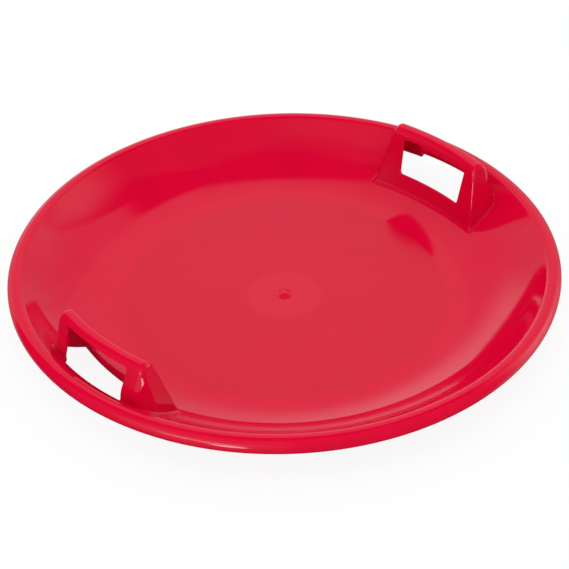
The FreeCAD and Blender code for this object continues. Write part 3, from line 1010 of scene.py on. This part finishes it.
@dataclass
class Bowl:
    """The floor, the gate well in its middle, and the wall that the handles stand in."""

    turning: Turning
    material: Material
    form: SledForm = SledForm()
    segments: int = 480
    floor_rings: int = 9
    patch_steps: int = 32
    patch_radius: float = 205.0
    inner_rows: int = 8
    outer_rows: int = 35
    clear: float = 1.6
    sill_nose: float = 0.5
    gate_radius: float = 11.0
    gate_segments: int = 96
    gate_steps: int = 12
    well_radius: float = 10.3
    well_depth: float = 0.3
    nub_height: float = 3.7
    nub_tip: float = 1.0

    def floor(self) -> None:
        """Turn the flat floor, from the gate well to the bend."""
        thick = self.form.bowl.thickness
        radii = np.linspace(self.form.bowl.floor_radius, self.gate_radius, self.floor_rings).tolist()
        section = [(radius, 0.0) for radius in radii[::-1]] + [(radius, thick) for radius in radii]
        show(self.turning.piece("moulded_floor", section, self.segments, self.material), ["floor_pan"])

    def gate(self) -> None:
        """Turn the shallow well at the gate, with the rounded nub in its middle."""
        thick = self.form.bowl.thickness
        low = thick - self.well_depth
        rise = np.linspace(0, 1, self.gate_steps + 1)
        bank, nub = ([(start + (stop - start) * t, base + climb * e) for t, e in zip(rise, ease(rise))]
                     for start, stop, base, climb in (
                         (self.gate_radius, self.well_radius, thick, -self.well_depth),
                         (self.well_radius, self.nub_tip, low, self.nub_height)))
        section = [(0.0, 0.0), (self.gate_radius, 0.0), *bank, *nub[1:], (0.0, low + self.nub_height)]
        piece = self.turning.piece("moulded_gate_well", section, self.gate_segments, self.material)
        show(piece, ["gate_well"])

    def wall(self, handle: Handle) -> None:
        """Make the wall as a turned grid, with a patch at each handle that meets the foot of its fillet.

        Args:
            handle: The handle, for its foot ring.
        """
        bowl, sheet = self.form.bowl, Skin()
        sheet.nose = self.sill_nose
        inner = np.linspace(bowl.floor_radius, self.patch_radius, self.inner_rows + 1)[:-1]
        outer = np.linspace(self.patch_radius, bowl.wall_radius, self.outer_rows + 1)
        radii = np.concatenate([inner, outer])
        turns = np.arange(self.segments) * (2 * math.pi / self.segments)
        plan = np.stack([radii[:, None] * np.cos(turns), radii[:, None] * np.sin(turns)], -1)
        height = bowl.height(radii)[:, None] + 0 * turns
        lean = bowl.lean(radii)[:, None]
        upper = np.concatenate([plan, height[..., None]], -1)
        lower = np.concatenate([plan, (height - bowl.thickness / lean)[..., None]], -1)
        slope = np.sqrt(1 - lean ** 2) + 0 * turns
        normal = np.stack([-slope * np.cos(turns), -slope * np.sin(turns), lean + 0 * turns], -1)
        numbers = sheet.add({Face.UPPER: upper, Face.LOWER: lower}, {face: normal for face in Face})
        wrapped = np.concatenate([numbers, numbers[:, :1]], 1)
        keep = np.ones((len(radii) - 1, self.segments), bool)
        for side in Side:
            middle = round(side.value / (2 * math.pi) * self.segments)
            columns = np.arange(middle - self.patch_steps, middle + self.patch_steps + 1) % self.segments
            keep[self.inner_rows:, columns[:-1]] = False
            self.patch(sheet, numbers[self.inner_rows:, columns], handle, side)
        sheet.rows(wrapped, keep)
        show(new_object("moulded_wall", sheet.mesh("moulded_wall", self.material)), ["bowl_wall"])

    def patch(self, sheet: Skin, grid: Array, handle: Handle, side: Side) -> None:
        """Fill the wall between a block of its grid and a handle's foot ring.

        Args:
            sheet: The wall in the making.
            grid: The block's point numbers.
            handle: The right-hand handle.
            side: The side on which it stands.
        """
        foot = handle.foot_ring
        normals = {face: about_z(self.form.normal(foot[face]), side.value) for face in Face}
        ring = sheet.add({face: about_z(foot[face], side.value) for face in Face}, normals)
        sheet.free |= {*ring[handle.holes[Hole.OUTER]].flat}
        border = np.concatenate([grid[0, ::-1][:-1], grid[:, 0][:-1], grid[-1][:-1], grid[::-1, -1][:-1]])
        points = np.concatenate(sheet.points[Face.UPPER])
        inner = grid[1:-1, 1:-1].ravel()
        local = about_z(points[inner], -side.value)
        gap = np.linalg.norm(local[:, None, :2] - foot[Face.UPPER][None, :, :2], axis=-1).min(1)
        outside = self.form.handle.distance(local) > 0
        numbers = np.concatenate([border, ring, inner[outside & (gap > self.clear)]])
        loops = []
        for start, size in ((0, len(border)), (len(border), len(ring))):
            loops += [(start + i, start + (i + 1) % size) for i in range(size)]
        flat = [Vector(place) for place in points[numbers][:, :2]]
        _, _, faces, origins, _, _ = delaunay_2d_cdt(flat, loops, [], CDT_VALID_FACES, CDT_SLACK)
        for face in faces:
            corners = [int(numbers[origins[i][0]]) for i in face]
            a, b, c = (points[i][:2] for i in corners[:3])
            if inside((a + b + c) / 3, points[ring]):
                continue
            turn = (b[0] - a[0]) * (c[1] - a[1]) - (b[1] - a[1]) * (c[0] - a[0])
            sheet.faces.append(tuple(corners if turn > 0 else corners[::-1]))


def arc(centre: tuple[float, float], radius: float, start: float, stop: float, steps: int) -> Outline:
    """List points along an arc of a section, from one angle in radians to another."""
    turns = np.linspace(start, stop, steps + 1)
    return [(centre[0] + radius * math.cos(t), centre[1] + radius * math.sin(t)) for t in turns]


@dataclass
class Rim:
    """The rolled rim: a flange that carries the wall on, and a round lip that curls under."""

    turning: Turning
    material: Material
    bowl: BowlForm = BowlForm()
    lip_centre: tuple[float, float] = (290.0, 43.5)
    lip_radius: float = 10.0
    segments: int = 480
    lip_steps: int = 80
    roll_steps: int = 24
    nose_steps: int = 10

    def tangent(self, point: tuple[float, float], radius: float) -> float:
        """Find the angle at which a line from a point touches a circle round the lip's centre on top."""
        across, up = point[0] - self.lip_centre[0], point[1] - self.lip_centre[1]
        return (math.atan2(up, across) - math.acos(radius / math.hypot(across, up))) % (2 * math.pi)

    def section(self) -> Outline:
        """Outline the rim's section.

        Returns:
            The closed outline, anticlockwise.
        """
        thick, down = self.bowl.thickness, -math.pi / 2
        inner_radius = self.lip_radius - thick
        seat = (self.bowl.wall_radius, float(self.bowl.height(np.array(self.bowl.wall_radius))))
        base = (seat[0], seat[1] - thick / math.cos(self.bowl.flare_angle))
        over, under = self.tangent(seat, self.lip_radius), self.tangent(base, inner_radius)
        lip = arc(self.lip_centre, self.lip_radius, over, down, self.lip_steps)
        roll = arc(self.lip_centre, inner_radius, down, under, self.roll_steps)
        nose_centre = (self.lip_centre[0], self.lip_centre[1] - self.lip_radius + thick / 2)
        nose = arc(nose_centre, thick / 2, down, down - math.pi, self.nose_steps)[1:-1]
        return [base, seat, *lip, *nose, *roll][::-1]

    def piece(self) -> None:
        """Turn the rim."""
        piece = self.turning.piece("moulded_rim", self.section(), self.segments, self.material)
        show(piece, ["rolled_rim"])


@dataclass(frozen=True)
class Screen:
    """A pale screen round the sled that shows in its gloss, or a dark one that takes light away.

    Its middle is turned from straight behind the sled, to the right as the camera sees it. Angles are in
    degrees.
    """

    middle: float
    half_width: float
    top: float
    blur: float
    glow: float

    def light(self, add: Adder, turn: Node, rise: Node, so_far: Any) -> Node:
        """Add the screen's light to the room's.

        Args:
            add: Adds a node to the world's tree.
            turn: Gives the ray's turn from straight behind the sled, in radians.
            rise: Gives its height above the horizon, in radians.
            so_far: The light so far, as a node or a number.

        Returns:
            The light with the screen.
        """
        aside = add("ShaderNodeMath", {0: turn, 1: math.radians(self.middle)}, operation="SUBTRACT")
        wrapped = add("ShaderNodeMath", {0: aside, 1: math.pi, 2: -math.pi}, operation="WRAP")
        away = add("ShaderNodeMath", {0: wrapped}, operation="ABSOLUTE")
        wide, high = (
            add("ShaderNodeMapRange", {"Value": value, "From Min": math.radians(edge - self.blur),
                                       "From Max": math.radians(edge + self.blur),
                                       "To Min": 1.0, "To Max": 0.0}, interpolation_type="SMOOTHSTEP")
            for value, edge in ((away, self.half_width), (rise, self.top)))
        both = add("ShaderNodeMath", {0: wide, 1: high}, operation="MULTIPLY")
        return add("ShaderNodeMath", {0: both, 1: self.glow, 2: so_far}, operation="MULTIPLY_ADD")


@dataclass
class Studio:
    """The pale floor, the soft light and the camera of the photograph, in metres."""

    floor_colour: str = "F4F4F4"
    floor_size: float = 14.0
    sheen_colour: str = "D8D8D8"
    sheen_roughness: float = 0.2
    pool_middle: tuple[float, float] = (-0.42, -0.26)
    pool_size: tuple[float, float] = (0.13, 0.05)
    pool_turn: float = math.radians(22.0)
    pool_core: float = 0.55
    pool_glow: float = 8.0
    shadow_share: float = 0.1
    fill: float = 0.96
    ceiling: float = 0.01
    screens: tuple[Screen, ...] = (
        Screen(180, 92, 76, 6, 0.09), Screen(-8, 36, 67, 4, 0.46), Screen(41, 13, 55, 3, 0.45),
        Screen(-50, 6, 50, 3, 0.45), Screen(9, 16, 62, 4, 0.09), Screen(0, 40, 41, 3, -0.07),
        Screen(-14, 14, 24, 8, 0.5), Screen(72, 14, 44, 10, 0.7), Screen(70, 16, 20, 14, 0.9),
        Screen(-148, 14, 5, 4, 4.5), Screen(-144, 24, 26, 18, 0.6), Screen(-148, 32, 63, 5, 0.14))
    lamp_place: tuple[float, float, float] = (-0.7, -0.5, 2.5)
    lamp_size: float = 1.2
    lamp_power: float = 13.0
    azimuth: float = math.radians(-42.4)
    elevation: float = math.radians(37.6)
    distance: float = 2.1
    aim_height: float = 0.003
    tilt: float = 0.0051
    roll: float = math.radians(-1.83)
    sensor: float = 36.0
    lens: float = 120.53

    def floor(self) -> None:
        """Lay the floor that the sled rests on."""
        half = self.floor_size / 2
        mesh = bpy.data.meshes.new("studio_floor")
        corners = [(-half, -half, 0), (half, -half, 0), (half, half, 0), (-half, half, 0)]
        mesh.from_pydata(corners, [], [(0, 1, 2, 3)])
        mesh.materials.append(self.paper())
        new_object("studio_floor", mesh)

    def paper(self) -> Material:
        """Build the floor's material.

        Returns:
            The material.
        """
        material = bpy.data.materials.new("studio_paper")
        add = empty_tree(material)
        path = add("ShaderNodeLightPath").outputs
        # To the eye it's white paper that keeps a soft shadow. Only the sled's gloss shows its sheen and a
        # pool of light, which gives the near lip its highlight.
        paper = add("ShaderNodeBsdfDiffuse", {"Color": linear(self.floor_colour)})
        sheen = add("ShaderNodeBsdfGlossy", {"Color": linear(self.sheen_colour),
                                             "Roughness": self.sheen_roughness})
        place = add("ShaderNodeTexCoord").outputs["Object"]
        spot = add("ShaderNodeMapping", {
            "Vector": place, "Location": (*self.pool_middle, 0.0), "Rotation": (0.0, 0.0, self.pool_turn),
            "Scale": (*self.pool_size, 1.0)}, vector_type="TEXTURE")
        away = add("ShaderNodeVectorMath", {0: spot}, operation="LENGTH").outputs["Value"]
        pool = add("ShaderNodeMapRange", {
            "Value": away, "From Min": self.pool_core, "From Max": 1.0, "To Min": self.pool_glow,
            "To Max": 0.0}, interpolation_type="SMOOTHSTEP")
        lit, glow = (add("ShaderNodeEmission", {"Color": WHITE, "Strength": strength})
                     for strength in (pool, 1.0))
        mirrored = add("ShaderNodeAddShader", {0: sheen, 1: lit})
        dimmed = add("ShaderNodeMixShader", {0: path["Is Glossy Ray"], 1: paper, 2: mirrored})
        share = add("ShaderNodeMath", {0: path["Is Camera Ray"], 1: 1 - self.shadow_share},
                    operation="MULTIPLY")
        mixed = add("ShaderNodeMixShader", {0: share, 1: dimmed, 2: glow})
        add("ShaderNodeOutputMaterial", {"Surface": mixed})
        return material

    def world(self) -> None:
        """Light the room: white to the camera, an even fill, and screens under a dark ceiling in gloss."""
        world = bpy.data.worlds.new("studio_room")
        bpy.context.scene.world = world
        add = empty_tree(world)
        way = add("ShaderNodeTexCoord").outputs["Generated"]
        c, s = math.cos(self.azimuth), math.sin(self.azimuth)
        across, deep = (
            add("ShaderNodeVectorMath", {0: way, 1: axis}, operation="DOT_PRODUCT").outputs["Value"]
            for axis in ((c, s, 0.0), (-s, c, 0.0)))
        turn = add("ShaderNodeMath", {0: across, 1: deep}, operation="ARCTAN2")
        height = add("ShaderNodeSeparateXYZ", {0: way}).outputs["Z"]
        rise = add("ShaderNodeMath", {0: height}, operation="ARCSINE")
        light: Any = self.ceiling
        for screen in self.screens:
            light = screen.light(add, turn, rise, light)
        path = add("ShaderNodeLightPath").outputs
        gloss = add("ShaderNodeMix", {"Factor": path["Is Glossy Ray"], 2: self.fill, 3: light},
                    data_type="FLOAT")
        seen = add("ShaderNodeMath", {0: gloss, 1: path["Is Camera Ray"]}, operation="MAXIMUM")
        background = add("ShaderNodeBackground", {"Color": WHITE, "Strength": seen})
        add("ShaderNodeOutputWorld", {"Surface": background})

    def lamp(self) -> None:
        """Hang a square soft lamp that points at the sled and doesn't show in its gloss."""
        light = bpy.data.lights.new("soft_key", "AREA")
        light.size = self.lamp_size
        light.energy = self.lamp_power
        lamp = new_object("soft_key", light)
        lamp.location = self.lamp_place
        lamp.rotation_euler = (-Vector(self.lamp_place)).to_track_quat("-Z", "Y").to_euler()
        lamp.visible_glossy = False

    def camera(self) -> None:
        """Stand the camera where the photograph was taken."""
        data = bpy.data.cameras.new("photograph")
        data.sensor_width = self.sensor
        data.lens = self.lens
        away, high = self.distance * math.cos(self.elevation), self.distance * math.sin(self.elevation)
        place = Matrix.Translation((0, -away, high + self.aim_height))
        nod = math.pi / 2 - self.elevation + math.atan(self.tilt)
        around, down, level = (Matrix.Rotation(angle, 4, axis) for angle, axis in (
            (self.azimuth, "Z"), (nod, "X"), (self.roll, "Z")))
        view = new_object("photograph", data)
        view.matrix_world = around @ place @ down @ level
        bpy.context.scene.camera = view

    def build(self) -> None:
        """Set up the whole studio."""
        self.floor()
        self.world()
        self.lamp()
        self.camera()
        bpy.context.scene.view_settings.view_transform = "Standard"


def main() -> None:
    """Build the sled's pieces and the studio round them."""
    logging.basicConfig(level=logging.INFO, format="%(name)s %(message)s")
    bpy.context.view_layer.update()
    plastic = MouldedPolyethylene().material()
    turning, handle = Turning(), Handle(plastic)
    bowl = Bowl(turning, plastic)
    bowl.floor()
    bowl.gate()
    bowl.wall(handle)
    Rim(turning, plastic).piece()
    for side in Side:
        handle.piece(side)
    Studio().build()


if __name__ == "__main__":
    main()
